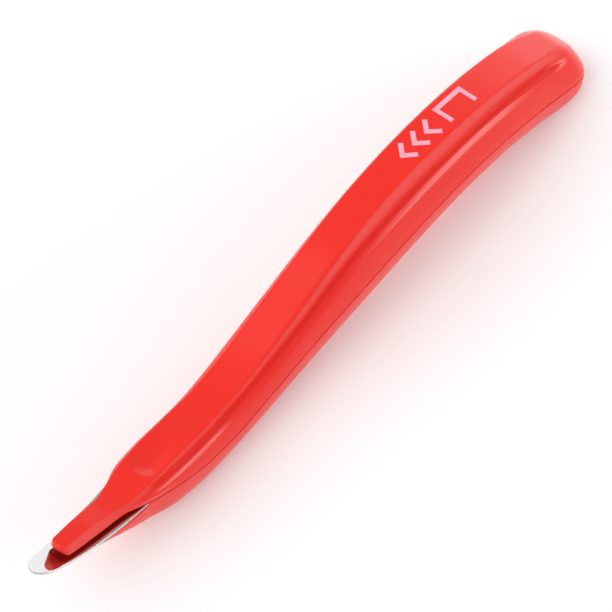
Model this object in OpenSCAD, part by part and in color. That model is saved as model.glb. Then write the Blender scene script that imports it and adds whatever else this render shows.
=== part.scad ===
// Pen-style staple remover: a curved two-shell handle, a steel tongue that slides under a
// staple, and a narrow sprung finger moulded onto the upper shell above the tongue.
// Frame: +X from the tongue to the tail, +Z up, the object resting on Z = 0 on its belly
// and its tail, Y = 0 the plane of symmetry.

/* [Shells] */
// Wall thickness of both shells
wall = 1.8; // [1.4:0.1:2.2]
// Small round on the edge of the raised top face
top_edge = 0.5; // [0.3:0.1:0.8]
// Stations along the handle
stations = 48; // [24:4:64]

/* [Tongue] */
// Thickness of the steel tongue
tongue_t = 0.7; // [0.5:0.1:0.9]
// Radius of the pegs that locate the tongue
peg_r = 1.2; // [0.9:0.1:1.4]
// Play between a peg or post and its hole
play = 0.05; // [0.02:0.01:0.08]

/* [Finger] */
// Open gap between finger and tongue at the finger's tip
finger_gap = 1.1; // [0.8:0.1:1.4]
// Open gap between finger and tongue at the finger's neck
neck_gap = 1.2; // [0.8:0.1:1.4]
// Radius of the round that the finger turns on at its neck
neck_r = 0.8; // [0.6:0.05:0.85]

/* [Inside] */
// Length of the bar magnet
magnet_l = 8; // [6:0.5:8]
// Width of the bar magnet
magnet_w = 4.5; // [4:0.5:5]
// Height of the bar magnet
magnet_h = 2.0; // [1.6:0.1:2]
// Radius of the posts that press the shells together
post_r = 1.6; // [1.2:0.1:1.8]

/* [Hidden] */

// Outline of the handle, one row for each place where its curves change:
// [x, top height, top half-width, seam height, seam half-width, keel height, step depth]
SHAPE = [
    [-60.5, 16.4, 3.9, 12.0, 5.1, 4.2, 1.7],
    [-52.5, 16.4, 4.3, 10.5, 6.7, 1.2, 2.7],
    [-44.5, 15.5, 4.3, 8.3, 7.2, 0, 2.9],
    [-34.5, 15.0, 4.15, 7.3, 7.3, 0, 2.9],
    [-24.5, 16.7, 4.15, 8.6, 7.5, 0.8, 3.4],
    [-8.5, 21.6, 4.25, 11.5, 7.9, 2.8, 4.7],
    [9.5, 27.0, 4.1, 14.3, 8.6, 5.4, 5.8],
    [27.5, 28.8, 4.15, 16.1, 9.1, 7.4, 6.0],
    [43.5, 27.7, 4.35, 15.9, 9.3, 7.6, 5.5],
    [59.5, 24.7, 4.4, 13.6, 9.4, 5.6, 4.9],
    [71.5, 21.1, 4.3, 10.3, 9.4, 2.1, 4.9],
    [79.5, 17.2, 4.2, 7.5, 9.4, 0, 4.3],
    [86.0, 13.2, 4.1, 5.3, 9.4, 0, 3.6],
    [88.5, 10.8, 4.1, 4.6, 9.3, 0.2, 3.0],
    [90.3, 8.8, 4.1, 4.3, 9.2, 0.4, 2.2],
    [91.7, 6.9, 4.0, 4.1, 9.1, 0.7, 1.2]
];
TOP_Z = 1;
TOP_W = 2;
SEAM_Z = 3;
SEAM_W = 4;
KEEL_Z = 5;
STEP = 6;

// The ledge below the step: [x, width of the flat ledge, width of the slant at its rim]
LEDGE = [
    [-60.5, 0.65, 0.95],
    [-50, 0.75, 1.1],
    [0, 0.8, 1.1],
    [20, 0.75, 1.3],
    [50, 0.8, 1.35],
    [70, 1.2, 1.5],
    [91.7, 1.2, 1.4]
];
step_lean = 0.1;       // how far the step's wall leans out, as a share of its depth
ledge_fall = 0.1;      // fall of the ledge

tail_x = 91.7;         // end of the tail
tail_round = 9;        // length over which the tail rounds off in plan
tail_power = 3.4;      // a larger power gives the tail squarer corners
run_out = [77, 89];    // stretch over which the step runs out towards the tail
mouth_x = -60.5;       // where the tongue leaves the shells
hinge_x = -66;         // the neck, where the finger bends
neck_z = 16.15;        // height of the neck's upper face at the hinge
wedge_x = -75.5;       // tip of the wedge under the tongue
finger_x = -84;        // tip of the finger
tongue_x = -91.7;      // tip of the tongue
tang_x = -40;          // hidden rear end of the tongue
cavity_x = [-55.5, 82.5];  // hollow of the handle
post_xs = [-22.5, 17.5, 57.5];
peg_xs = [-54, -42.5];
magnet_x = -48.7;

function blend(a, b, k) = a + (b - a) * k;

// Row of a table that holds x, the slope at a row, and the smooth value at x
function row_of(t, x, i = 0) = i >= len(t) - 2 || x < t[i + 1][0] ? i : row_of(t, x, i + 1);
function slope_at(t, i, c) =
    let (a = max(i - 1, 0), b = min(i + 1, len(t) - 1))
    (t[b][c] - t[a][c]) / (t[b][0] - t[a][0]);
function smooth(t, x, c) =
    let (i = row_of(t, x), h = t[i + 1][0] - t[i][0], u = (x - t[i][0]) / h)
    t[i][c] * (1 + 2 * u) * (1 - u) ^ 2
    + slope_at(t, i, c) * h * u * (1 - u) ^ 2
    + t[i + 1][c] * u ^ 2 * (3 - 2 * u)
    - slope_at(t, i + 1, c) * h * u ^ 2 * (1 - u);
function at(x, c) = smooth(SHAPE, x, c);

// Upper face of the tongue: a flat tang inside the shells, then one long curve up to the tip
tang_slope = 0.03;
curl = 0.0088;
function tongue_z(x) =
    at(mouth_x, SEAM_Z) + tang_slope * (mouth_x - x) + curl * max(mouth_x - x, 0) ^ 2;
// Half-width of the tongue: a round tip, then widening to the mouth
tip_x = -85.5;
tip_w = 3.0;
function tongue_w(x) =
    x < tip_x ? tip_w * sqrt(max(1 - ((tip_x - x) / (tip_x - tongue_x)) ^ 2, 0))
    : blend(tip_w, 5.0, ((x - tip_x) / (mouth_x - tip_x)) ^ 0.8);

// Plan rounding of the tail
function tail_k(x) = x < tail_x - tail_round ? 1
    : (1 - ((x - tail_x + tail_round) / (tail_round + 0.02)) ^ tail_power) ^ (1 / tail_power);

// 0 before from, 1 after to, with a soft turn at both
function ease(x, from, to) =
    let (k = min(max((x - from) / (to - from), 0), 1))
    k * k * (3 - 2 * k);

// Corners of the stepped section at x, from the top face's edge down to the flank: the edge, the
// groove under the step, the ledge's rim, the end of its slant, and the flank's bulge
function stepped(x) =
    let (zt = at(x, TOP_Z), wt = at(x, TOP_W), zs = at(x, SEAM_Z), ws = at(x, SEAM_W))
    let (y = wt + step_lean * at(x, STEP), z = zt - at(x, STEP))
    let (ledge = smooth(LEDGE, x, 1), slant = smooth(LEDGE, x, 2))
    let (crest = [y + ledge + slant, z - ledge_fall - slant])
    [
        [wt, zt],
        [y, z],
        [y + ledge, z - ledge_fall],
        crest,
        [blend(crest[0], ws, 0.65), blend(crest[1], zs, 0.5)]
    ];
// Corners of the full section that closes the tail: share of the seam's half-width, and how far
// down to the seam
FULL = [[0.4, 0], [0.57, 0.15], [0.73, 0.35], [0.87, 0.58], [0.97, 0.8]];
function corners(x) =
    let (s = stepped(x), k = ease(x, run_out[0], run_out[1]))
    let (zt = at(x, TOP_Z), zs = at(x, SEAM_Z), ws = at(x, SEAM_W))
    [for (i = [0:4]) blend(s[i], [ws * FULL[i][0], blend(zt, zs, FULL[i][1])], k)];

// Half of the upper shell's outline at x, from the top face to the seam
function upper_half(x) =
    let (c = corners(x), down = c[1] - c[0], k = tail_k(x))
    let (half = concat(
        [c[0] - [top_edge, 0], c[0] + top_edge * down / norm(down)],
        [for (i = [1:4]) c[i]],
        [[at(x, SEAM_W), at(x, SEAM_Z)]]))
    [for (p = half) [p[0] * k, p[1]]];

// Half of a rounded keel: from (w, zs) down by depth, ending in a narrow flat along the middle.
// A smaller bulge gives squarer sides.
keel_steps = 7;
keel_end = 84;
function keel_half(w, zs, depth, bulge) = [
    for (i = [0:keel_steps])
        let (a = keel_end * i / keel_steps)
        [w * cos(a) ^ bulge, zs - depth * (sin(a) / sin(keel_end)) ^ 0.7]];
// The keel's bulge at x: round along the handle, squarer under the tail and at the mouth
round_keel = 0.35;
square_tail = 0.08;
square_mouth = 0.23;
function keel_bulge(x) =
    blend(round_keel, square_tail, ease(x, 70, 86))
    + (square_mouth - round_keel) * max(1 - ((x - mouth_x) / 10) ^ 2, 0);
// Half of the lower shell's outline at x, from the seam to the keel
function lower_half(x) =
    let (zs = at(x, SEAM_Z))
    keel_half(at(x, SEAM_W) * tail_k(x), zs, zs - at(x, KEEL_Z), keel_bulge(x));

// Half of the neck's outline at x, between the hinge and the mouth: its underside is the slot
neck_w = 3.0;              // half-width of the neck's top at the hinge
neck_flare = [0.3, 0.9];   // how much wider its foot is, at the hinge and at the mouth
// Side of the neck: share of the flare, and how far down to the slot
NECK = [[0.15, 0.3], [0.3, 0.45], [0.5, 0.6], [0.8, 0.8], [1, 1]];
function neck_half(x) =
    let (k = (x - hinge_x) / (mouth_x - hinge_x))
    let (w = blend(neck_w, at(mouth_x, TOP_W), k), flare = blend(neck_flare[0], neck_flare[1], k))
    let (zt = blend(neck_z, at(mouth_x, TOP_Z), k ^ 2), zs = tongue_z(x) + neck_gap * (1 - k))
    concat(
        [[w - top_edge, zt], [w, zt - top_edge]],
        [for (p = NECK) [w + flare * p[0], blend(zt, zs, p[1])]]);

// Half of the wedge's outline at x, under the tongue
function wedge_half(x) =
    let (k = (x - wedge_x) / (mouth_x - wedge_x))
    let (depth = blend(0.3, at(mouth_x, SEAM_Z) - at(mouth_x, KEEL_Z) - tongue_t, k))
    let (w = blend(tongue_w(x) - 0.1, at(mouth_x, SEAM_W), k ^ 2))
    keel_half(w, tongue_z(x) - tongue_t, depth, keel_bulge(x));

// A closed ring at x from half an outline and its mirror image
function ring(x, half) = concat(
    [for (p = half) [x, p[0], p[1]]],
    [for (i = [len(half) - 1:-1:0]) [x, -half[i][0], half[i][1]]]);

// A solid skin through rings of equal length, ordered along +X
module loft(rings) {
    n = len(rings[0]);
    last = (len(rings) - 1) * n;
    sides = [for (r = [0:len(rings) - 2], i = [0:n - 1])
        let (j = (i + 1) % n, a = r * n)
        each [[a + i, a + n + j, a + n + i], [a + i, a + j, a + n + j]]];
    polyhedron(
        points = [for (r = rings) each r],
        faces = concat([[for (i = [n - 1:-1:0]) i]], sides, [[for (i = [0:n - 1]) last + i]])
    );
}

function steps(from, to, n) = [for (i = [0:n]) blend(from, to, i / n)];
// Stations are spaced evenly along the handle and crowd towards the round tail
function handle_xs(n) = concat(
    steps(mouth_x, tail_x - tail_round, n),
    [for (a = [15:15:75]) tail_x - tail_round + tail_round * sin(a)],
    [tail_x]);

// Hollow of the upper shell and of the lower shell, each run past the seam
past_seam = 2;
function upper_hollow(x) =
    let (c = corners(x), zs = at(x, SEAM_Z), ws = at(x, SEAM_W) * tail_k(x))
    [
        c[0] - [wall, wall],
        c[1] - [wall, wall / 2],
        c[3] - [wall, wall / 2],
        [ws - wall, zs],
        [ws - wall, zs - past_seam]
    ];
function lower_hollow(x) =
    let (zs = at(x, SEAM_Z), w = at(x, SEAM_W) * tail_k(x) - wall, depth = zs - at(x, KEEL_Z) - wall)
    concat([[w, zs + past_seam]], keel_half(w, zs, depth, keel_bulge(x)));
hollow_xs = steps(cavity_x[0], cavity_x[1], 24);

// Side view of the tongue between two x, grown by extra above and below, as a plate along Y
module tongue_plate(from, to, extra, half_width) {
    xs = steps(from, to, 24);
    top = [for (x = xs) [x, tongue_z(x) + extra]];
    under = [for (x = [for (i = [24:-1:0]) xs[i]]) [x, tongue_z(x) - tongue_t - extra]];
    rotate([90, 0, 0])
        linear_extrude(2 * half_width, center = true)
            polygon(concat(top, under));
}
tang_w = 3.4;
module tongue_slot() tongue_plate(mouth_x - 1, tang_x + 0.5, play, tang_w + play);

hinge_z = (neck_z + tongue_z(hinge_x) + neck_gap) / 2;
module neck_round(r, half_width)
    translate([hinge_x, 0, hinge_z])
        rotate([90, 0, 0])
            cylinder(r = r, h = 2 * half_width, center = true, $fn = 48);

module upright(x, r, from, to)
    translate([x, 0, from])
        cylinder(r = r, h = to - from, $fn = 40);

boss_r = 2.9;
socket_h = 5;
module upper_shell() color([0.90, 0.10, 0.07])
    difference() {
        union() {
            resize([0, 0, 0])
                difference() {
                    loft(concat(
                        [for (x = steps(hinge_x, mouth_x - 0.5, 6)) ring(x, neck_half(x))],
                        [for (x = handle_xs(stations)) ring(x, upper_half(x))]));
                    loft([for (x = hollow_xs) ring(x, upper_hollow(x))]);
                    tongue_slot();
                    thumb_dimple();
                }
            for (x = post_xs)
                upright(x, boss_r, at(x, SEAM_Z), at(x, TOP_Z) - wall / 2);
            magnet_rib();
        }
        for (x = post_xs)
            upright(x, post_r + play, at(x, SEAM_Z) - 1, at(x, SEAM_Z) + socket_h);
        neck_round(neck_r + play, 6);
    }

// A shallow dimple for the fingertip in the top face, above the mouth
dimple_x = -55.5;
dimple = [6.5, 3.6, 0.9];  // half-length, half-width and depth
module thumb_dimple()
    translate([dimple_x, 0, at(dimple_x, TOP_Z) + 0.05])
        scale(dimple)
            sphere(1, $fn = 36);

// The rib that holds the magnet down on the tongue
module magnet_rib() {
    under = tongue_z(magnet_x - 2) + magnet_h + 0.1;
    translate([magnet_x - 1, -magnet_w / 2, under])
        cube([2, magnet_w, at(magnet_x, TOP_Z) - wall / 2 - under]);
}

// The finger: [x, top height, top half-width, lower half-width]
FINGER = [
    [finger_x, 21.1, 1.75, 2.35],
    [-76.5, 19.4, 2.05, 2.6],
    [-70.5, 17.3, 2.4, 2.95],
    [-68.7, 16.75, 2.45, 3.1],
    [hinge_x, neck_z, 2.95, 3.4]
];
finger_tip_r = 1.6;
finger_bulge = 0.15;   // bulge of the finger's sides
function finger_half(x) =
    let (k = sqrt(max(1 - (max(finger_x + finger_tip_r - x, 0) / (finger_tip_r + 0.1)) ^ 2, 0)))
    let (zt = smooth(FINGER, x, 1), wt = smooth(FINGER, x, 2) * k, wl = smooth(FINGER, x, 3) * k)
    let (zs = tongue_z(x) + blend(finger_gap, neck_gap, (x - finger_x) / (hinge_x - finger_x)))
    [
        [wt - top_edge * k, zt],
        [wt, zt - top_edge],
        [blend(wt, wl, 0.5) + finger_bulge * k, blend(zt, zs, 0.5)],
        [wl, zs]
    ];
module nose_finger() color([0.90, 0.10, 0.07])
    union() {
        loft([for (x = concat(
            [for (a = [0:18:72]) finger_x + finger_tip_r * (1 - cos(a))],
            steps(finger_x + finger_tip_r, hinge_x - 0.12, 12))) ring(x, finger_half(x))]);
        neck_round(neck_r, 2.9);
    }

module lower_shell() color([0.86, 0.09, 0.07])
    intersection() {
        union() {
            resize([0, 0, 0])
                difference() {
                    loft(concat(
                        [for (x = steps(wedge_x, mouth_x - 0.1, 10)) ring(x, wedge_half(x))],
                        [for (x = handle_xs(stations)) ring(x, lower_half(x))]));
                    loft([for (x = hollow_xs) ring(x, lower_hollow(x))]);
                    tongue_slot();
                }
            for (x = post_xs) {
                upright(x, boss_r, at(x, KEEL_Z) + wall / 2, at(x, SEAM_Z));
                upright(x, post_r, at(x, SEAM_Z) - 1, at(x, SEAM_Z) + socket_h - 0.5);
            }
            for (x = peg_xs) {
                upright(x, peg_r + 0.8, at(x, KEEL_Z) + wall / 2, tongue_z(x + 2) - tongue_t - play);
                upright(x, peg_r, at(x, KEEL_Z) + wall, tongue_z(x) + 0.8);
            }
        }
        translate([-100, -20, 0])
            cube([200, 40, 60]);
    }

// The polished steel tongue: a curved plate cut to its plan outline, with two peg holes
tip_steps = 10;
module tongue() color([0.85, 0.86, 0.88])
    difference() {
        intersection() {
            tongue_plate(tongue_x - 1, tang_x, 0, 8);
            linear_extrude(40)
                tongue_plan();
        }
        for (x = peg_xs)
            upright(x, peg_r + play, 0, 40);
    }
module tongue_plan() {
    tip = [for (i = [1:tip_steps]) tip_x - (tip_x - tongue_x) * cos(90 * i / tip_steps)];
    body = steps(tip_x, mouth_x - 0.2, 8);
    side = concat(
        [for (x = concat(tip, [for (i = [1:8]) body[i]])) [x, tongue_w(x)]],
        [[mouth_x - 0.2, tang_w], [tang_x, tang_w]]);
    polygon(concat([[tongue_x, 0]], side,
        [for (i = [len(side) - 1:-1:0]) [side[i][0], -side[i][1]]]));
}

module magnet() color([0.45, 0.45, 0.47])
    translate([magnet_x, 0, tongue_z(magnet_x) + 0.02])
        rotate([0, atan(tang_slope), 0])
            translate([-magnet_l / 2, -magnet_w / 2, 0])
                cube([magnet_l, magnet_w, magnet_h]);

upper_shell();
nose_finger();
lower_shell();
tongue();
magnet();
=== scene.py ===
"""Looks of a pen-style staple remover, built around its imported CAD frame.

Blender units are metres, +Z up, in the CAD's own frame: +X runs from the tongue to the tail, and
Y = 0 is the plane of symmetry. The object's lengths are written in millimetres and turned into
metres by MM. Those of the camera, floor, lamps and bump are in metres.
"""

import math

import bmesh
import bpy
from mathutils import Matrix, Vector

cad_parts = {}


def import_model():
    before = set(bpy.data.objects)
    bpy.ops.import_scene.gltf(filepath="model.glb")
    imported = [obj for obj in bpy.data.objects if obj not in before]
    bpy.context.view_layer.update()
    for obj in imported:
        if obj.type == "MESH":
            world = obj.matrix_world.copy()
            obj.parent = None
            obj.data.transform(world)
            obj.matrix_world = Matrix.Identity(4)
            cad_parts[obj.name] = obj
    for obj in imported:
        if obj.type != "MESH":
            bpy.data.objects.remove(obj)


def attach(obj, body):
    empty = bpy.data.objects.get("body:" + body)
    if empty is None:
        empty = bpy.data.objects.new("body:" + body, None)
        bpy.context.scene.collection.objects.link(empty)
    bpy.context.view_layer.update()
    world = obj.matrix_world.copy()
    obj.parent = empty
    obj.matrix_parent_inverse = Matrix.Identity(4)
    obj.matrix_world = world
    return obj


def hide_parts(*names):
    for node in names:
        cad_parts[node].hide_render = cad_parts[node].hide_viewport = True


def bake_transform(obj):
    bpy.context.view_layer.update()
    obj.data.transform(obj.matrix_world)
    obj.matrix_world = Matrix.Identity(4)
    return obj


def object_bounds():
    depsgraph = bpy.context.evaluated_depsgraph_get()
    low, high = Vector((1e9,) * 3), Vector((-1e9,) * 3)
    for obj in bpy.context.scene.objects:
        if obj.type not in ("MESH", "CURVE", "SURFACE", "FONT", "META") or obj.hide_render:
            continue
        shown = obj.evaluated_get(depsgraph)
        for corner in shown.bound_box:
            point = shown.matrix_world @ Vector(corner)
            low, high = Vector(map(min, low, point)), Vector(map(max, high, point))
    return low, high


MM = 0.001

# The handle, as the CAD lofts it:
# x, top height, top half-width, edge height, edge half-width, keel height, step depth
TOP_Z, TOP_W, EDGE_Z, EDGE_W, KEEL_Z, STEP = range(1, 7)
HANDLE = (
    (-60.5, 16.4, 3.9, 12.0, 5.1, 4.2, 1.7),
    (-52.5, 16.4, 4.3, 10.5, 6.7, 1.2, 2.7),
    (-44.5, 15.5, 4.3, 8.3, 7.2, 0.0, 2.9),
    (-34.5, 15.0, 4.15, 7.3, 7.3, 0.0, 2.9),
    (-24.5, 16.7, 4.15, 8.6, 7.5, 0.8, 3.4),
    (-8.5, 21.6, 4.25, 11.5, 7.9, 2.8, 4.7),
    (9.5, 27.0, 4.1, 14.3, 8.6, 5.4, 5.8),
    (27.5, 28.8, 4.15, 16.1, 9.1, 7.4, 6.0),
    (43.5, 27.7, 4.35, 15.9, 9.3, 7.6, 5.5),
    (59.5, 24.7, 4.4, 13.6, 9.4, 5.6, 4.9),
    (71.5, 21.1, 4.3, 10.3, 9.4, 2.1, 4.9),
    (79.5, 17.2, 4.2, 7.5, 9.4, 0.0, 4.3),
    (86.0, 13.2, 4.1, 5.3, 9.4, 0.0, 3.6),
    (88.5, 10.8, 4.1, 4.6, 9.3, 0.2, 3.0),
    (90.3, 8.8, 4.1, 4.3, 9.2, 0.4, 2.2),
    (91.7, 6.9, 4.0, 4.1, 9.1, 0.7, 1.2),
)
# The finger: x, top height, top half-width, lower half-width
FINGER = (
    (-84.0, 21.1, 1.75, 2.35),
    (-76.5, 19.4, 2.05, 2.6),
    (-70.5, 17.3, 2.4, 2.95),
    (-68.7, 16.75, 2.45, 3.1),
    (-66.0, 16.15, 2.95, 3.5),
)
# The step along the handle: x, width of its ledge, slant at the ledge's rim, lean of its wall,
# round of the top edge
LEDGE = (
    (-60.5, 0.65, 0.95, 0.05, 0.3),
    (-50.0, 0.75, 1.1, 0.05, 0.15),
    (-38.0, 0.75, 1.1, 0.05, 0.2),
    (-28.0, 0.8, 1.1, 0.1, 0.5),
    (0.0, 0.8, 1.1, 0.1, 1.0),
    (20.0, 0.75, 1.3, 0.1, 0.5),
    (50.0, 0.8, 1.35, 0.1, 0.45),
    (70.0, 1.2, 1.5, 0.1, 0.45),
    (91.7, 1.2, 1.4, 0.1, 0.45),
)
TOPS = FINGER + HANDLE  # columns 1 and 2 mean the same in both
LOWER_WIDTHS = tuple((row[0], row[3]) for row in FINGER) + ((-60.5, 5.1), (-52.5, 6.7))

# Places along X
FINGER_X, HINGE_X, MOUTH_X, TAIL_X = -84.0, -66.0, -60.5, 91.7
TONGUE_X, TIP_X, WEDGE_X, TANG_X = -91.7, -85.5, -75.5, -40.0
SHOULDER_X = MOUTH_X - 0.2  # the tongue narrows to its tang here
CAVITY = (-55.5, 82.5)
NECK = (-65.0, -57.0)  # the plain section of the finger turns into the stepped one
FULL_END = (77.0, 89.0)  # the stepped section turns into the full one

WALL = 1.8
TONGUE_T, TONGUE_EDGE = 0.7, 0.16  # thickness, round of the edge
TONGUE_RISE, TONGUE_CURL = 0.03, 0.0088  # slope at the mouth, and its growth towards the tip
TIP_W, SHOULDER_W, TANG_W = 3.0, 5.0, 3.4  # half-widths of the tongue
SLOT_W, SLOT_PLAY = 3.46, 0.06  # half-width of the tang's slot, and the play over and under it
FINGER_GAP, NECK_GAP = 1.1, 1.2  # open height over the tongue at the finger's tip and its neck
FINGER_ROUND, FINGER_BULGE = 1.6, 0.75  # the finger's tip, in plan and from the side
TAIL_ROUND, TAIL_POWER, TAIL_LEAN = 9.0, 3.4, 0.8  # the tail's end in plan, and its face's lean
WEDGE_INSET, WEDGE_TIP = 0.1, 0.3  # the nose under the tongue: narrower each side, depth at its tip
# The seam: each skin's distance from it outside and inside, how far in the gap goes, and the round
# of the lower lip
SEAM_GAP, SEAM_SHUT, SEAM_DEPTH, SEAM_ROUND = 0.22, 0.01, 0.4, 0.15
LEDGE_FALL = 0.1  # from the groove out to the ledge's rim
LEAST_STEP = 0.01  # least height of the slot's wall on the hidden side

STATION = 0.6  # distance between the rings of a skin
NUDGE = 0.001  # keeps a ring just off a place where the section changes
MERGE = 0.002  # points closer than this become one
SHARP_ANGLE = 40


def blend(a, b, k):
    return a + (b - a) * k


def ease(x, start, end):
    """0 before start, 1 after end, with a soft turn at both."""
    k = min(max((x - start) / (end - start), 0.0), 1.0)
    return k * k * (3 - 2 * k)


def curve(rows, x, column):
    """A column's value at x: a cubic through the rows, whose slopes follow their neighbours."""
    i = max([k for k in range(len(rows) - 1) if rows[k][0] <= x], default=0)

    def slope(k):
        a, b = rows[max(k - 1, 0)], rows[min(k + 1, len(rows) - 1)]
        return (b[column] - a[column]) / (b[0] - a[0])

    h = rows[i + 1][0] - rows[i][0]
    u = (x - rows[i][0]) / h
    return (
        rows[i][column] * (1 + 2 * u) * (1 - u) ** 2
        + slope(i) * h * u * (1 - u) ** 2
        + rows[i + 1][column] * u * u * (3 - 2 * u)
        - slope(i + 1) * h * u * u * (1 - u)
    )


def tongue_z(x):
    """Height of the tongue's upper face."""
    ahead = MOUTH_X - x
    at_mouth = curve(HANDLE, MOUTH_X, EDGE_Z)
    return at_mouth + TONGUE_RISE * ahead + TONGUE_CURL * max(ahead, 0.0) ** 2


def slot_gap(x):
    """Open height between the tongue and what is over it."""
    if x < HINGE_X:
        return blend(FINGER_GAP, NECK_GAP, (x - FINGER_X) / (HINGE_X - FINGER_X))
    return NECK_GAP * max(MOUTH_X - x, 0.0) / (MOUTH_X - HINGE_X)


def edge_z(x):
    return curve(HANDLE, x, EDGE_Z) if x > MOUTH_X else tongue_z(x) + slot_gap(x)


def edge_w(x):
    return curve(HANDLE, x, EDGE_W) if x > MOUTH_X else curve(LOWER_WIDTHS, x, 1)


# --- Meshes ---------------------------------------------------------------------------------


def rounded(corners, cuts, arcs, spans):
    """Points along a polyline. Inner corner i is cut back by cuts[i] and rounded in arcs[i] steps,
    and the straight stretch before each corner is divided into spans[i] steps."""
    points = [Vector(corners[0])]
    for i in range(1, len(corners)):
        corner, before = Vector(corners[i]), Vector(corners[i - 1])
        inner = i < len(corners) - 1
        enter = corner
        if inner:
            after = Vector(corners[i + 1])
            cut_in = min(cuts[i - 1], 0.45 * (corner - before).length)
            cut_out = min(cuts[i - 1], 0.45 * (after - corner).length)
            enter = corner + (before - corner).normalized() * cut_in
            leave = corner + (after - corner).normalized() * cut_out
        start = points[-1].copy()
        points += [start.lerp(enter, k / spans[i - 1]) for k in range(1, spans[i - 1] + 1)]
        if inner:
            for k in range(1, arcs[i - 1] + 1):
                t = k / arcs[i - 1]
                points.append(enter.lerp(corner, t).lerp(corner.lerp(leave, t), t))
    return points


def closed_ring(x, half, squeeze=1.0, push=None):
    """A ring round the section at x, from a half section that starts and ends on Y = 0."""
    def place(y, z):
        return (x + (push(z) if push else 0.0), y * squeeze, z)

    right = [place(p[0], p[1]) for p in half]
    left = [place(-p[0], p[1]) for p in reversed(half[1:-1])]
    return right + left


def skin(name, rings):
    """A closed mesh through rings of equal length. Ends that close to a line are zipped up."""
    n = len(rings[0])
    verts = [Vector(p) * MM for ring in rings for p in ring]
    faces = []
    for r in range(len(rings) - 1):
        for i in range(n):
            j = (i + 1) % n
            faces.append((r * n + i, r * n + j, (r + 1) * n + j, (r + 1) * n + i))
    mesh = bpy.data.meshes.new(name)
    mesh.from_pydata(verts, [], faces)
    bm = bmesh.new()
    bm.from_mesh(mesh)
    bmesh.ops.remove_doubles(bm, verts=bm.verts, dist=MERGE * MM)
    open_edges = [e for e in bm.edges if e.is_boundary]
    if open_edges:
        bmesh.ops.holes_fill(bm, edges=open_edges, sides=0)
    bmesh.ops.recalc_face_normals(bm, faces=bm.faces)
    bm.to_mesh(mesh)
    bm.free()
    mesh.shade_smooth()
    mesh.set_sharp_from_angle(angle=math.radians(SHARP_ANGLE))
    piece = bpy.data.objects.new(name, mesh)
    bpy.context.scene.collection.objects.link(piece)
    return piece


def stretch(start, end):
    """Stations from start to end, both included."""
    count = max(1, round((end - start) / STATION))
    return [blend(start, end, i / count) for i in range(count + 1)]


def between(*stops):
    """Stations between neighbouring stops, kept just off every stop."""
    for start, end in zip(stops, stops[1:]):
        inside = stretch(start, end)
        inside[0] += NUDGE
        inside[-1] -= NUDGE
        yield from inside


def tail_stations():
    """x, plan squeeze and share of the end's bulge over the rounded tail."""
    start, count = TAIL_X - TAIL_ROUND, 30
    for i in range(1, count + 1):
        a = math.pi / 2 * i / count
        x = start + TAIL_ROUND * math.sin(a) ** (2 / TAIL_POWER)
        yield x, max(math.cos(a), 0.0) ** (2 / TAIL_POWER), (i / count) ** 2


def tail_push(x, share):
    """The end face leans in under the seam."""
    edge, bottom = edge_z(x), curve(HANDLE, x, KEEL_Z)

    def push(z):
        return -TAIL_LEAN * share * (max(edge - z, 0.0) / (edge - bottom)) ** 2

    return push


# --- Upper shell and finger -----------------------------------------------------------------

TOP_STEPS = 12  # across half of the top face
# Corners of the plain section of the finger: how far from the top edge to the seam
PLAIN_SECTION = (0.0, 0.3, 0.42, 0.55, 0.78)
# Corners of the full section at the tail: share of the half-width, and how far down to the seam
FULL_SECTION = ((0.4, 0.0), (0.57, 0.15), (0.73, 0.35), (0.87, 0.58), (0.97, 0.8))
DIMPLE_X, DIMPLE_FRONT, DIMPLE_BACK, DIMPLE_W, DIMPLE_DEPTH = -54.8, 4.2, 9.5, 4.0, 1.3


def dimple(x, y):
    """Depth of the thumb dimple: steep towards the tongue and shallow towards the tail."""
    along = (x - DIMPLE_X) / (DIMPLE_FRONT if x < DIMPLE_X else DIMPLE_BACK)
    r = along * along + (y / DIMPLE_W) ** 2
    return DIMPLE_DEPTH * max(1 - r, 0.0) ** 1.5


def upper_half(x):
    """Half section of the upper skin, from the middle of the top face to the middle inside."""
    zt, wt = curve(TOPS, x, TOP_Z), curve(TOPS, x, TOP_W)
    ze, we = edge_z(x), edge_w(x)
    step = curve(HANDLE, max(x, MOUTH_X), STEP)
    ledge, slant, lean, round_top = (curve(LEDGE, max(x, MOUTH_X), c) for c in (1, 2, 3, 4))
    groove = (wt + lean * step, zt - step)
    rim = (groove[0] + ledge, groove[1] - LEDGE_FALL)
    crest = (rim[0] + slant, rim[1] - slant)
    flank = (blend(crest[0], we, 0.65), blend(crest[1], ze, 0.5))
    stepped = [(wt, zt), groove, rim, crest, flank]
    plain = [(blend(wt, we, k), blend(zt, ze, k)) for k in PLAIN_SECTION]
    full = [(we * k, blend(zt, ze, down)) for k, down in FULL_SECTION]
    behind_neck, at_end = ease(x, *NECK), ease(x, *FULL_END)
    middle = []
    for a, b, c in zip(plain, stepped, full):
        middle.append(tuple(blend(blend(a[i], b[i], behind_neck), c[i], at_end) for i in (0, 1)))
    soft = max(1 - behind_neck, at_end)
    lip = 0.12
    bottom = ze + SEAM_GAP * ease(x, HINGE_X, MOUTH_X)
    outer = rounded(
        [(0.0, zt), *middle, (we, bottom), (we - SEAM_DEPTH, bottom)],
        cuts=[blend(round_top, 1.5, at_end), blend(0.12, 1.2, soft), blend(0.5, 1.5, at_end),
              blend(0.6, 1.5, at_end), 1.6, lip],
        arcs=[5, 4, 5, 5, 6, 3],
        spans=[TOP_STEPS, 5, 3, 3, 3, 4, 1],
    )
    top, side = outer[:TOP_STEPS + 1], outer[TOP_STEPS + 1:]
    thumb = [(y, z - dimple(x, y) * behind_neck) for y, z in top]
    shut = ze + SEAM_SHUT if x > MOUTH_X else bottom
    return thumb + side + inner_upper(x, we, shut, middle)


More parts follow.
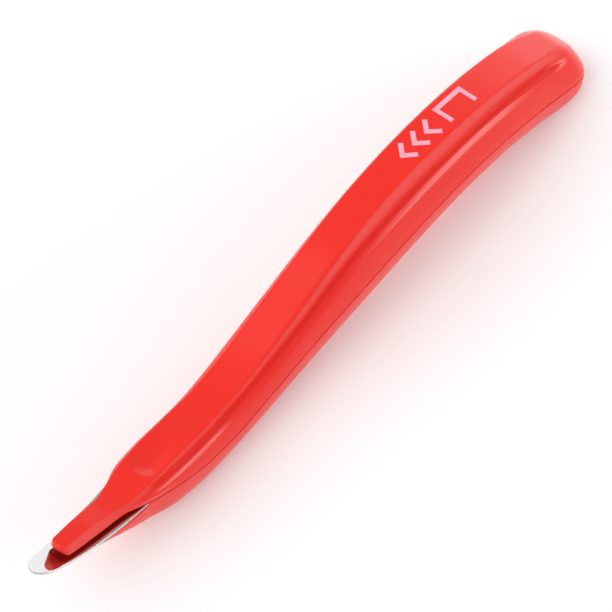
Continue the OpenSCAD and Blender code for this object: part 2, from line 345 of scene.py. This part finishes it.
def inner_upper(x, we, z, middle):
    """The hidden side: flat where the shell is solid, a slot over the tang, a hollow behind it."""
    if CAVITY[0] < x < CAVITY[1]:
        edge, groove, _, crest, _ = middle
        return [
            (we - WALL, z),
            (crest[0] - WALL, crest[1] - WALL / 2),
            (groove[0] - WALL, groove[1] - WALL / 2),
            (edge[0] - WALL, edge[1] - WALL),
            (0.0, edge[1] - WALL),
        ]
    if MOUTH_X < x <= CAVITY[0]:
        roof = max(tongue_z(x) + SLOT_PLAY, z + LEAST_STEP)
        return [(SLOT_W, z)] + [(y, roof) for y in (SLOT_W, 2.3, 1.15, 0.0)]
    return [((we - SEAM_DEPTH) * k, z) for k in (0.8, 0.6, 0.4, 0.2, 0.0)]


def finger_push(x, share):
    """The finger's tip is rounded from the side: its top and bottom lie further back."""
    middle = blend(edge_z(x), curve(TOPS, x, TOP_Z), 0.5)
    half_height = (curve(TOPS, x, TOP_Z) - edge_z(x)) / 2

    def push(z):
        return FINGER_BULGE * share * ((z - middle) / half_height) ** 2

    return push


def upper_rings():
    rings = []
    count = 12
    for i in range(count):  # the round tip of the finger
        a = math.pi / 2 * i / count
        x = FINGER_X + FINGER_ROUND * (1 - math.cos(a))
        push = finger_push(x, (1 - i / count) ** 2)
        rings.append(closed_ring(x, upper_half(x), math.sin(a) ** 0.9, push))
    for x in between(FINGER_X + FINGER_ROUND, HINGE_X, MOUTH_X, *CAVITY, TAIL_X - TAIL_ROUND):
        rings.append(closed_ring(x, upper_half(x)))
    for x, squeeze, share in tail_stations():
        rings.append(closed_ring(x, upper_half(x), squeeze, tail_push(x, share)))
    return rings


# --- Lower shell ----------------------------------------------------------------------------

# Half a keel: its steps, how they crowd towards the seam, and the power of its curve
KEEL_STEPS, KEEL_CROWD, KEEL_POWER = 30, 1.35, 0.7
KEEL_INSIDE = (30, 22, 15, 8, 3)  # the steps that the hidden side keeps, from the middle up
MOUTH_FULLNESS, MOUTH_REACH = 0.12, 10.0  # fuller sides at the mouth, and how far back they go


def keel(w, z, depth, bulge):
    """Half a rounded keel from (w, z) down to the middle."""
    points = []
    for i in range(KEEL_STEPS + 1):
        a = math.pi / 2 * (i / KEEL_STEPS) ** KEEL_CROWD
        drop = depth * math.sin(a) ** KEEL_POWER
        points.append((w * max(math.cos(a), 0.0) ** bulge, max(z - drop, 0.0)))
    return points


def keel_bulge(x):
    """Power of the keel's roundness: fuller sides at the mouth, square ones at the tail."""
    at_mouth = max(1 - ((x - MOUTH_X) / MOUTH_REACH) ** 2, 0.0)
    return blend(0.35, 0.08, ease(x, 70.0, 86.0)) - MOUTH_FULLNESS * at_mouth


def tongue_w(x):
    """Half-width of the tongue: a round tip, then widening to the mouth."""
    if x < TIP_X:
        return TIP_W * math.sqrt(max(1 - ((TIP_X - x) / (TIP_X - TONGUE_X)) ** 2, 0.0))
    return blend(TIP_W, SHOULDER_W, min((x - TIP_X) / (MOUTH_X - TIP_X), 1.0) ** 0.8)


def lower_half(x):
    """Half section of the lower skin, from the middle inside to the middle of the keel."""
    if x < MOUTH_X:
        k = (x - WEDGE_X) / (MOUTH_X - WEDGE_X)
        w = blend(tongue_w(x) - WEDGE_INSET, edge_w(MOUTH_X + NUDGE), k * k)
        z = tongue_z(x) - TONGUE_T
        shut = z
        at_mouth = curve(HANDLE, MOUTH_X, EDGE_Z) - curve(HANDLE, MOUTH_X, KEEL_Z) - TONGUE_T
        depth = blend(WEDGE_TIP, at_mouth, k)
    else:
        w, z = edge_w(x), edge_z(x) - SEAM_GAP
        shut = edge_z(x) - SEAM_SHUT
        depth = z - curve(HANDLE, x, KEEL_Z)
    bulge = keel_bulge(x)
    lip = min(SEAM_ROUND, 0.4 * depth)
    below = keel(w, z - lip, depth - lip, bulge)
    rim = [(w - lip * (1 - math.sin(a)), z - lip * (1 - math.cos(a)))
           for a in (0.0, math.pi / 6, math.pi / 3)]
    if CAVITY[0] < x < CAVITY[1]:
        hollow = keel(w - WALL, z, depth - WALL, bulge)
        inside = [hollow[i] for i in KEEL_INSIDE] + [(w - WALL, shut)]
    elif MOUTH_X < x <= CAVITY[0]:
        bed = min(tongue_z(x) - TONGUE_T - SLOT_PLAY, z - LEAST_STEP)
        inside = [(y, bed) for y in (0.0, 1.2, 2.4, SLOT_W)] + [(SLOT_W, shut), (0.9 * w, shut)]
    else:
        inside = [((w - lip) * k, shut) for k in (0.0, 0.2, 0.4, 0.6, 0.8, 0.9)]
    return inside + rim + below


def lower_rings():
    stops = (WEDGE_X, MOUTH_X, *CAVITY, TAIL_X - TAIL_ROUND)
    rings = [closed_ring(x, lower_half(x)) for x in between(*stops)]
    for x, squeeze, share in tail_stations():
        rings.append(closed_ring(x, lower_half(x), squeeze, tail_push(x, share)))
    return rings


# --- Tongue ---------------------------------------------------------------------------------

TONGUE_ACROSS = 8  # steps across half of a flat face


def tongue_outline():
    """x, half-width and outward normal along one side of the tongue, from its tip to the tang."""
    reach, count = TIP_X - TONGUE_X, 26
    outline = [(TONGUE_X, 0.0, -1.0, 0.0)]
    for i in range(1, count):
        a = math.pi / 2 * i / count
        x = TIP_X - reach * math.cos(a)
        normal = Vector((-math.cos(a) / reach, math.sin(a) / TIP_W)).normalized()
        outline.append((x, tongue_w(x), normal.x, normal.y))
    outline += [(x, tongue_w(x), 0.0, 1.0) for x in stretch(TIP_X, SHOULDER_X)]
    outline += [(x, TANG_W, 0.0, 1.0) for x in stretch(SHOULDER_X, TANG_X)]
    return outline


def tongue_rings():
    """Rings round the tongue, inset along the outline's normal so that the tip is rounded too."""
    turns = (0.0, math.pi / 8, math.pi / 4, 3 * math.pi / 8, math.pi / 2)
    levels = [(TONGUE_EDGE * (1 - math.sin(a)), TONGUE_EDGE * (1 - math.cos(a))) for a in turns]
    rings = []
    for x, w, nx, ny in tongue_outline():
        edge = [(x - nx * inset, w - ny * inset, drop) for inset, drop in levels]
        inner_x, inner_w = x - nx * TONGUE_EDGE, w - ny * TONGUE_EDGE
        flat = [(inner_x, inner_w * k / TONGUE_ACROSS) for k in range(TONGUE_ACROSS)]
        half = [(px, py, 0.0) for px, py in flat] + edge
        half += [(px, py, TONGUE_T - drop) for px, py, drop in reversed(edge)]
        half += [(px, py, TONGUE_T) for px, py in reversed(flat)]
        right = [(px, max(py, 0.0), tongue_z(px) - drop) for px, py, drop in half]
        left = [(px, -py, z) for px, py, z in reversed(right[1:-1])]
        rings.append(right + left)
    return rings


# --- Printed mark ---------------------------------------------------------------------------

MARK_X = 31.5
MARK_LINE = 1.15
MARK_PROUD, MARK_SUNK = 0.02, 0.12
MARK_STEP = 0.5
STAPLE_X, STAPLE_CROWN, STAPLE_LEG = MARK_X + 15.5, 8.5, 2.3
CHEVRONS, CHEVRON_PITCH = 3, 4.3
CHEVRON_TIP, CHEVRON_BACK, CHEVRON_HALF = 0.6, 3.0, 2.4


def stroke(name, path):
    """A thin printed line along path, points (x, y) in mm, laid on the top face."""
    rings = []
    points = [Vector(p) for p in fine(path)]
    for i, p in enumerate(points):
        before = (p - points[i - 1]).normalized() if i else (points[1] - p).normalized()
        after = (points[i + 1] - p).normalized() if i < len(points) - 1 else before
        along = (before + after).normalized()
        reach = MARK_LINE / 2 / max(along.dot(before), 0.5)
        side = Vector((-along.y, along.x)) * reach
        a, b = p + side, p - side
        ring = []
        for q, lift in ((a, MARK_PROUD), (b, MARK_PROUD), (b, -MARK_SUNK), (a, -MARK_SUNK)):
            ring.append((q.x, q.y, curve(TOPS, q.x, TOP_Z) + lift))
        rings.append(ring)
    return skin(name, rings)


def fine(path):
    """The same path with points no further apart than MARK_STEP."""
    points = [path[0]]
    for a, b in zip(path, path[1:]):
        count = max(1, math.ceil((Vector(b) - Vector(a)).length / MARK_STEP))
        points += [tuple(Vector(a).lerp(Vector(b), k / count)) for k in range(1, count + 1)]
    return points


def printed_mark():
    """A generic pictogram: a lifted staple, and three chevrons that point to the tongue."""
    near, far = STAPLE_X, STAPLE_X + STAPLE_CROWN
    staple = [(near, -STAPLE_LEG), (near, STAPLE_LEG), (far, STAPLE_LEG), (far, -STAPLE_LEG)]
    pieces = [stroke("mark_staple", staple)]
    for i in range(CHEVRONS):
        x = MARK_X + CHEVRON_PITCH * i
        tip, back = x + CHEVRON_TIP, x + CHEVRON_BACK
        chevron = [(back, CHEVRON_HALF), (tip, 0.0), (back, -CHEVRON_HALF)]
        pieces.append(stroke(f"mark_chevron_{i + 1}", chevron))
    return pieces


# --- Materials ------------------------------------------------------------------------------


class Nodes:
    """Short calls for building a material's nodes."""

    def __init__(self, name):
        self.material = bpy.data.materials.new(name)
        self.material.use_nodes = True
        self.tree = self.material.node_tree
        self.shader = self.tree.nodes["Principled BSDF"]
        self.place = self.add("ShaderNodeTexCoord").outputs["Object"]

    def add(self, kind, **values):
        node = self.tree.nodes.new(kind)
        for key, value in values.items():
            setattr(node, key, value)
        return node

    def link(self, out, into):
        self.tree.links.new(out, into)

    def noise(self, scale, detail=4.0, axes=(1, 1, 1)):
        """Noise in the piece's own space. A small number in axes draws it out along that axis."""
        mapping = self.add("ShaderNodeMapping")
        mapping.inputs["Scale"].default_value = axes
        self.link(self.place, mapping.inputs["Vector"])
        node = self.add("ShaderNodeTexNoise")
        node.inputs["Scale"].default_value = scale
        node.inputs["Detail"].default_value = detail
        self.link(mapping.outputs["Vector"], node.inputs["Vector"])
        return node.outputs["Fac"]

    def spread(self, value, low, high, start=0.0, end=1.0):
        node = self.add("ShaderNodeMapRange")
        node.inputs["From Min"].default_value = start
        node.inputs["From Max"].default_value = end
        node.inputs["To Min"].default_value = low
        node.inputs["To Max"].default_value = high
        self.link(value, node.inputs["Value"])
        return node.outputs["Result"]

    def mix(self, factor, a, b):
        node = self.add("ShaderNodeMix", data_type="RGBA")
        node.inputs["A"].default_value = (*a, 1)
        node.inputs["B"].default_value = (*b, 1)
        self.link(factor, node.inputs["Factor"])
        return node.outputs["Result"]

    def bump(self, height, strength, distance):
        node = self.add("ShaderNodeBump")
        node.inputs["Strength"].default_value = strength
        node.inputs["Distance"].default_value = distance
        self.link(height, node.inputs["Height"])
        self.link(node.outputs["Normal"], self.shader.inputs["Normal"])


def red_plastic():
    """Glossy moulded plastic with a faint flow pattern, moulded grain and fine handling marks."""
    n = Nodes("red_plastic")
    flow = n.noise(60, 3.0, (0.4, 1, 1))
    n.link(n.mix(flow, (0.81, 0.019, 0.010), (0.86, 0.022, 0.012)), n.shader.inputs["Base Color"])
    marks = n.noise(1400, 5.0, (0.5, 1, 1))
    n.link(n.spread(marks, 0.20, 0.27, 0.3, 0.7), n.shader.inputs["Roughness"])
    n.bump(n.noise(2600, 3.0), 0.12, 0.00002)
    n.shader.inputs["IOR"].default_value = 1.4
    return n.material


def polished_steel():
    """Plated spring steel, polished along its length, with hairline marks and slight smudges."""
    n = Nodes("polished_steel")
    smudge = n.noise(180, 4.0)
    n.link(n.mix(smudge, (0.53, 0.53, 0.54), (0.59, 0.59, 0.59)), n.shader.inputs["Base Color"])
    hairline = n.noise(1400, 4.0, (0.04, 1, 1))
    n.link(n.spread(hairline, 0.05, 0.13, 0.3, 0.7), n.shader.inputs["Roughness"])
    n.bump(hairline, 0.05, 0.00001)
    n.shader.inputs["Metallic"].default_value = 1.0
    return n.material


def nickel():
    """Dull nickel plating on the magnet."""
    n = Nodes("dull_nickel")
    grain = n.noise(1200, 5.0)
    n.link(n.mix(grain, (0.40, 0.39, 0.37), (0.52, 0.51, 0.48)), n.shader.inputs["Base Color"])
    n.link(n.spread(grain, 0.28, 0.5), n.shader.inputs["Roughness"])
    n.bump(grain, 0.15, 0.00003)
    n.shader.inputs["Metallic"].default_value = 1.0
    return n.material


def pink_ink():
    """Pad-printed ink with a slightly uneven film."""
    n = Nodes("pink_ink")
    film = n.noise(1500, 4.0)
    n.link(n.mix(film, (0.93, 0.34, 0.45), (0.98, 0.42, 0.52)), n.shader.inputs["Base Color"])
    n.link(n.spread(film, 0.32, 0.48), n.shader.inputs["Roughness"])
    n.bump(film, 0.1, 0.00002)
    return n.material


def pale_floor():
    """Matt floor, nearly white."""
    n = Nodes("pale_floor")
    soft = n.noise(8, 2.0)
    n.link(n.mix(soft, (0.83, 0.83, 0.83), (0.85, 0.85, 0.85)), n.shader.inputs["Base Color"])
    n.shader.inputs["Roughness"].default_value = 0.9
    n.shader.inputs["Specular IOR Level"].default_value = 0.0
    n.shader.inputs["Emission Color"].default_value = (1, 1, 1, 1)
    n.shader.inputs["Emission Strength"].default_value = 0.13  # keeps the shadow faint
    return n.material


def paint(piece, material):
    piece.data.materials.clear()
    piece.data.materials.append(material)


# --- Camera, floor and light ----------------------------------------------------------------

VIEW_AZIMUTH, VIEW_ELEVATION, VIEW_DISTANCE = -52.0, 57.0, 0.9
VIEW_LENS, SENSOR_WIDTH = 247.2, 36
VIEW_AIM = (-0.7, 0.5, 9.1)  # mm from the middle of the object's base
FLOOR_SIZE, FLOOR_DROP = 3.0, 0.0001


def direction(azimuth, elevation):
    """Unit vector from the object towards a viewer there: azimuth 0 is on the -Y side."""
    a, e = math.radians(azimuth), math.radians(elevation)
    return Vector((math.sin(a) * math.cos(e), -math.cos(a) * math.cos(e), math.sin(e)))


def camera(target):
    data = bpy.data.cameras.new("camera")
    data.lens = VIEW_LENS
    data.sensor_width = SENSOR_WIDTH
    data.clip_start, data.clip_end = 0.05, 20
    cam = bpy.data.objects.new("camera", data)
    back = direction(VIEW_AZIMUTH, VIEW_ELEVATION)
    cam.location = target + back * VIEW_DISTANCE
    cam.rotation_mode = "QUATERNION"
    cam.rotation_quaternion = (-back).to_track_quat("-Z", "Y")
    bpy.context.scene.collection.objects.link(cam)
    bpy.context.scene.camera = cam


def floor():
    mesh = bpy.data.meshes.new("floor")
    corners = [(x * FLOOR_SIZE, y * FLOOR_SIZE, 0) for x, y in ((-1, -1), (1, -1), (1, 1), (-1, 1))]
    mesh.from_pydata(corners, [], [(0, 1, 2, 3)])
    piece = bpy.data.objects.new("floor", mesh)
    piece.location.z = -FLOOR_DROP
    bpy.context.scene.collection.objects.link(piece)
    paint(piece, pale_floor())


def softbox(name, azimuth, elevation, distance, width, height, power, target):
    """A rectangular lamp that faces target from a direction. Lengths in metres, power in watts."""
    data = bpy.data.lights.new(name, "AREA")
    data.shape = "RECTANGLE"
    data.size, data.size_y, data.energy = width, height, power
    lamp = bpy.data.objects.new(name, data)
    back = direction(azimuth, elevation)
    lamp.location = target + back * distance
    lamp.rotation_mode = "QUATERNION"
    lamp.rotation_quaternion = (-back).to_track_quat("-Z", "Y")
    bpy.context.scene.collection.objects.link(lamp)


# The studio's walls: their even light, and the middle of the place where they are brighter, the
# cosines of the angles from there at which its glow starts and is full, and its strength
AMBIENT = 0.64
GLOW_AZIMUTH, GLOW_ELEVATION = -120, 40
GLOW_START, GLOW_FULL, GLOW_STRENGTH = 0.76, 0.97, 2.3
# Lamps: name, azimuth, elevation, distance, width, height, power
LAMPS = (
    ("tail_light", 122, 14, 0.31, 0.34, 0.16, 0.15),
    ("crest_light", 40, 15, 1.0, 0.65, 0.16, 2.7),
)


def surroundings():
    """An evenly lit studio with a large soft glow beyond the tongue's end."""
    world = bpy.data.worlds.new("studio")
    bpy.context.scene.world = world
    world.use_nodes = True
    nodes, link = world.node_tree.nodes, world.node_tree.links.new
    background = nodes["Background"]
    background.inputs["Color"].default_value = (1, 1, 1, 1)
    place = nodes.new("ShaderNodeTexCoord")
    towards = nodes.new("ShaderNodeVectorMath")
    towards.operation = "DOT_PRODUCT"
    towards.inputs[1].default_value = direction(GLOW_AZIMUTH, GLOW_ELEVATION)
    link(place.outputs["Generated"], towards.inputs[0])
    glow = nodes.new("ShaderNodeMapRange")
    glow.interpolation_type = "SMOOTHSTEP"
    glow.inputs["From Min"].default_value = GLOW_START
    glow.inputs["From Max"].default_value = GLOW_FULL
    glow.inputs["To Max"].default_value = GLOW_STRENGTH
    link(towards.outputs["Value"], glow.inputs["Value"])
    total = nodes.new("ShaderNodeMath")
    total.inputs[1].default_value = AMBIENT
    link(glow.outputs["Result"], total.inputs[0])
    link(total.outputs["Value"], background.inputs["Strength"])


def main():
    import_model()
    cad_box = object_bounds()
    low, high = cad_box
    centre = (low + high) / 2
    bpy.context.scene.view_settings.view_transform = "Standard"
    camera(Vector((centre.x, centre.y, 0.0)) + Vector(VIEW_AIM) * MM)
    floor()
    surroundings()
    for lamp in LAMPS:
        softbox(*lamp, centre)

    red, steel, ink = red_plastic(), polished_steel(), pink_ink()

    upper = skin("upper_skin", upper_rings())
    paint(upper, red)
    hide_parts("upper_shell", "nose_finger")
    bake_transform(upper)

    lower = skin("lower_skin", lower_rings())
    paint(lower, red)
    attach(lower, "housing")
    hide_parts("lower_shell")

    tongue = skin("tongue_skin", tongue_rings())
    paint(tongue, steel)
    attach(tongue, "housing")
    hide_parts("tongue")

    for piece in printed_mark():
        paint(piece, ink)
        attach(piece, "housing")

    paint(bpy.data.objects["magnet"], nickel())


main()
